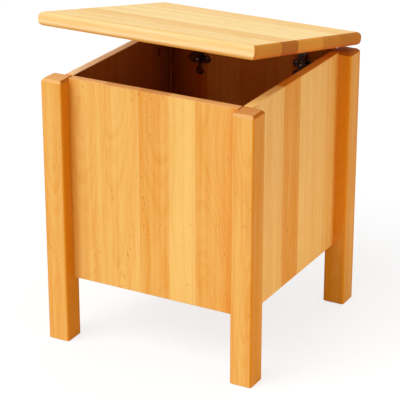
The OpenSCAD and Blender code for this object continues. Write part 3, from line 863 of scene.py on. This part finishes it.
def copiesTree():
    # copies of one shape on marked points, each standing along its point's own direction
    tree = bpy.data.node_groups.new("copiesOnPoints", "GeometryNodeTree")
    tree.interface.new_socket("Geometry", in_out="OUTPUT", socket_type="NodeSocketGeometry")
    treeInput(tree, "Geometry", "NodeSocketGeometry")
    treeInput(tree, "Shape", "NodeSocketObject")
    treeInput(tree, "Material", "NodeSocketMaterial")
    treeInput(tree, "Size", "NodeSocketFloat", 1.0)
    treeInput(tree, "Seed", "NodeSocketInt", 1)
    g = Graph(tree)
    given = g.add("NodeGroupInput")
    shape = g.add("GeometryNodeObjectInfo", None, {"Object": given["Shape"]})["Geometry"]
    outward = g.add("GeometryNodeInputNamedAttribute", {"data_type": "FLOAT_VECTOR"},
                    {"Name": "outward"})
    stand = g.add("FunctionNodeAlignRotationToVector", {"axis": "Z"}, {"Vector": outward})
    spin = g.add("FunctionNodeRandomValue", {"data_type": "FLOAT"},
                 {2: 0.0, 3: 2 * math.pi, "Seed": given["Seed"]}, 1)
    spun = g.add("FunctionNodeAxisAngleToRotation", None, {"Axis": (0, 0, 1), "Angle": spin})
    turned = g.add("FunctionNodeRotateRotation", {"rotation_space": "LOCAL"},
                   {"Rotation": stand, "Rotate By": spun})
    copies = g.add("GeometryNodeInstanceOnPoints", None,
                   {"Points": given["Geometry"], "Instance": shape, "Rotation": turned,
                    "Scale": g.vector(given["Size"], given["Size"], given["Size"])})
    plain = g.add("GeometryNodeRealizeInstances", None, {"Geometry": copies})
    dressed = g.add("GeometryNodeSetMaterial", None,
                    {"Geometry": plain, "Material": given["Material"]})
    g.add("NodeGroupOutput", None, {"Geometry": dressed})
    return tree


copiesOnPoints = copiesTree()


def makeCopies(name, shape, places, seed, material, body, node):
    mesh = bpy.data.meshes.new(name)
    mesh.from_pydata([tuple(p) for p, d in places], [], [])
    outward = mesh.attributes.new("outward", "FLOAT_VECTOR", "POINT")
    for i, (p, d) in enumerate(places):
        outward.data[i].vector = d
    piece = freshObject(name, mesh)
    runTree(piece, copiesOnPoints, {"Shape": shape, "Material": material, "Seed": seed})
    settle(piece, 30.0)
    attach(piece, body)
    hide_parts(node)


screwLook = {
    "head": 0.0035, "shank": 0.00175, "length": 0.014, "rise": 0.0003,
    "cleatHead": 0.0040, "cleatShank": 0.0020, "cleatLength": 0.032,
    "roundHead": 0.0040, "roundShank": 0.0020, "roundLength": 0.0148, "roundRise": 0.0022,
    "roundSlotWidth": 0.0011, "roundSlotDepth": 0.0012, "domeSteps": 5,
    "slotWidth": 0.0009, "slotDepth": 0.0011, "slotReach": 1.15, "roundSlotReach": 1.2,
    "tip": 0.002, "steps": 32,
}


def countersunk(name, head, shank, length):
    rise = screwLook["rise"]
    outline = [(0, rise), (head * 0.45, rise * 0.93), (head * 0.8, rise * 0.6), (head, 0),
               (shank, shank - head), (shank, screwLook["tip"] - length), (0, -length)]
    return turnedShape(name, outline, screwLook["steps"], screwLook["slotWidth"],
                       head * screwLook["slotReach"], screwLook["slotDepth"])


smallScrew = countersunk("smallScrew", screwLook["head"], screwLook["shank"],
                         screwLook["length"])
cleatScrew = countersunk("cleatScrew", screwLook["cleatHead"], screwLook["cleatShank"],
                         screwLook["cleatLength"])
head, rise, domeSteps = screwLook["roundHead"], screwLook["roundRise"], screwLook["domeSteps"]
shank, length = screwLook["roundShank"], screwLook["roundLength"]
dome = [(head * math.sin(quarter * k / domeSteps),
         rise * math.cos(quarter * k / domeSteps) ** 0.8) for k in range(1, domeSteps)]
roundScrew = turnedShape(
    "roundScrew",
    [(0, rise), *dome, (head, 0.0), (shank, 0.0), (shank, -length), (0, -length)],
    screwLook["steps"], screwLook["roundSlotWidth"], head * screwLook["roundSlotReach"],
    screwLook["roundSlotDepth"])

# where each screw stands, and which way its head looks
towardsFront, downwards = Vector((0, -1, 0)), Vector((0, 0, -1))
plateScrewPlaces = [(Vector(((a.x + b.x) / 2, a.y, (a.z + b.z) / 2)), towardsFront)
                    for a, b in solidBoxes("hinge_plate_screws")]
armScrewPlaces = [(Vector(((a.x + b.x) / 2, a.y + rise, (a.z + b.z) / 2)), towardsFront)
                  for a, b in solidBoxes("hinge_arm_screws")]
lidDown = lidTurn.to_3x3() @ downwards
leafScrewPlaces = [(lidTurn @ Vector(((a.x + b.x) / 2, (a.y + b.y) / 2, a.z)), lidDown)
                   for a, b in solidBoxes("hinge_leaf_screws", lidBack)]
cleatScrewPlaces = []
for a, b in solidBoxes("cleat_screws"):
    axis = 0 if b.x - a.x > b.y - a.y else 1
    place, inward = (a + b) / 2, Vector((0, 0, 0))
    inward[axis] = -1 if place[axis] > 0 else 1
    place[axis] = a[axis] if inward[axis] < 0 else b[axis]
    cleatScrewPlaces.append((place, inward))

makeCopies("hingePlateScrews", smallScrew, plateScrewPlaces, 2, screwMetal, "box",
           "hinge_plate_screws")
makeCopies("hingeArmScrews", roundScrew, armScrewPlaces, 3, screwMetal, "box",
           "hinge_arm_screws")
makeCopies("cleatScrews", cleatScrew, cleatScrewPlaces, 4, screwMetal, "box",
           "cleat_screws")
makeCopies("leafScrews", smallScrew, leafScrewPlaces, 6, screwMetal, "lid",
           "hinge_leaf_screws")

bumperLook = {"radius": 0.005, "height": 0.0036, "round": 0.0012, "roundSteps": 4,
              "pegRadius": 0.0025, "pegLength": 0.006, "steps": 40}
radius, height, edge = bumperLook["radius"], bumperLook["height"], bumperLook["round"]
pegRadius, pegLength = bumperLook["pegRadius"], bumperLook["pegLength"]
rounding = [(radius - edge + edge * math.sin(quarter * k / bumperLook["roundSteps"]),
             height - edge + edge * math.cos(quarter * k / bumperLook["roundSteps"]))
            for k in range(1, bumperLook["roundSteps"] + 1)]
bumperShape = turnedShape(
    "bumperShape",
    [(0, height), (radius - edge, height), *rounding, (radius, 0), (pegRadius, 0),
     (pegRadius, -pegLength), (0, -pegLength)], bumperLook["steps"])
bumperPlaces = [(lidTurn @ Vector(((a.x + b.x) / 2, (a.y + b.y) / 2, lidLow.z)), lidDown)
                for a, b in solidBoxes("lid_bumpers", lidBack)]
makeCopies("lidBumpers", bumperShape, bumperPlaces, 7, rubber, "lid", "lid_bumpers")
for shape in (smallScrew, cleatScrew, roundScrew, bumperShape):
    bpy.data.objects.remove(shape)
print("screws and bumpers made")


studioLook = {
    "fillStrength": 0.64,
    "keyStrength": 1.92,
    "keyAngle": 45.0,
    "keyTurn": (40.0, 0.0, -28.0),
    "lowFillPower": 0.75,    # a soft lamp near the floor to the right
    "lowFillSize": 0.3,
    "lowFillPlace": (0.74, -0.02, 0.10),
    "lowFillAim": (0.2, 0.0, 0.2),
    "floorColour": 0.72,     # as the hamper is lit by it
    "floorSeen": 0.24,       # the part of what the camera sees that takes shadows
    "floorGlow": 0.76,
    "floorSize": 30.0,
    "floorDrop": 0.0002,     # keeps the floor clear of the feet
}


def grey(value):
    return (value, value, value, 1)


world = bpy.data.worlds.new("studio")
bpy.context.scene.world = world
world.use_nodes = True
g = Graph(world.node_tree)
ray = g.add("ShaderNodeLightPath")
inView = g.maths("MAXIMUM", ray["Is Camera Ray"],
                 g.maths("MAXIMUM", ray["Is Glossy Ray"], ray["Is Transmission Ray"]))
backdrop = world.node_tree.nodes["Background"]
backdrop.inputs["Color"].default_value = grey(1)
fill = studioLook["fillStrength"]
g.feed(backdrop.inputs["Strength"], fill + inView * (1.0 - fill))

key = bpy.data.lights.new("key", "SUN")
key.energy = studioLook["keyStrength"]
key.angle = math.radians(studioLook["keyAngle"])
keyLamp = bpy.data.objects.new("key", key)
keyLamp.rotation_euler = [math.radians(a) for a in studioLook["keyTurn"]]
bpy.context.scene.collection.objects.link(keyLamp)

lowFill = bpy.data.lights.new("lowFill", "AREA")
lowFill.energy = studioLook["lowFillPower"]
lowFill.size = studioLook["lowFillSize"]
lowLamp = bpy.data.objects.new("lowFill", lowFill)
lowLamp.location = studioLook["lowFillPlace"]
lowAim = Vector(studioLook["lowFillAim"]) - lowLamp.location
lowLamp.rotation_euler = lowAim.to_track_quat("-Z", "Y").to_euler()
lowLamp.visible_camera = False
bpy.context.scene.collection.objects.link(lowLamp)

work = bmesh.new()
bmesh.ops.create_grid(work, x_segments=1, y_segments=1, size=studioLook["floorSize"] / 2)
floor = fromBmesh("floor", work)
floor.location.z = -studioLook["floorDrop"]
floorPaint = bpy.data.materials.new("floorPaint")
floorPaint.use_nodes = True
g = Graph(floorPaint.node_tree)
shader = floorPaint.node_tree.nodes["Principled BSDF"]
shader.inputs["Base Color"].default_value = grey(studioLook["floorColour"])
shader.inputs["Roughness"].default_value = 0.9
shader.inputs["Specular IOR Level"].default_value = 0.1
matt = g.add("ShaderNodeBsdfDiffuse", None, {"Color": grey(studioLook["floorSeen"])})
glow = g.add("ShaderNodeEmission", None,
             {"Color": grey(1), "Strength": studioLook["floorGlow"]})
bright = g.add("ShaderNodeAddShader", None, {0: matt, 1: glow})
ray = g.add("ShaderNodeLightPath")
both = g.add("ShaderNodeMixShader", None,
             {0: ray["Is Camera Ray"], 1: Signal(g, shader.outputs[0]), 2: bright})
g.feed(floorPaint.node_tree.nodes["Material Output"].inputs["Surface"], both)
floor.data.materials.append(floorPaint)

cameraLook = {
    "turn": 28.782, "height": 22.339,   # degrees round the hamper and above the floor
    "distance": 3.5719,
    "target": (-0.010026, -0.00656, 0.25342),
    "lens": 162.216, "sensor": 36.0,
    "clip": (0.1, 60.0),
}
turn, height = math.radians(cameraLook["turn"]), math.radians(cameraLook["height"])
back = Vector((math.sin(turn) * math.cos(height), -math.cos(turn) * math.cos(height),
               math.sin(height)))
lens = bpy.data.cameras.new("camera")
lens.lens = cameraLook["lens"]
lens.sensor_width = cameraLook["sensor"]
lens.clip_start, lens.clip_end = cameraLook["clip"]
camera = bpy.data.objects.new("camera", lens)
camera.location = Vector(cameraLook["target"]) + back * cameraLook["distance"]
camera.rotation_mode = "QUATERNION"
camera.rotation_quaternion = (-back).to_track_quat("-Z", "Y")
bpy.context.scene.collection.objects.link(camera)
bpy.context.scene.camera = camera
bpy.context.scene.view_settings.view_transform = "Standard"
print("studio made")
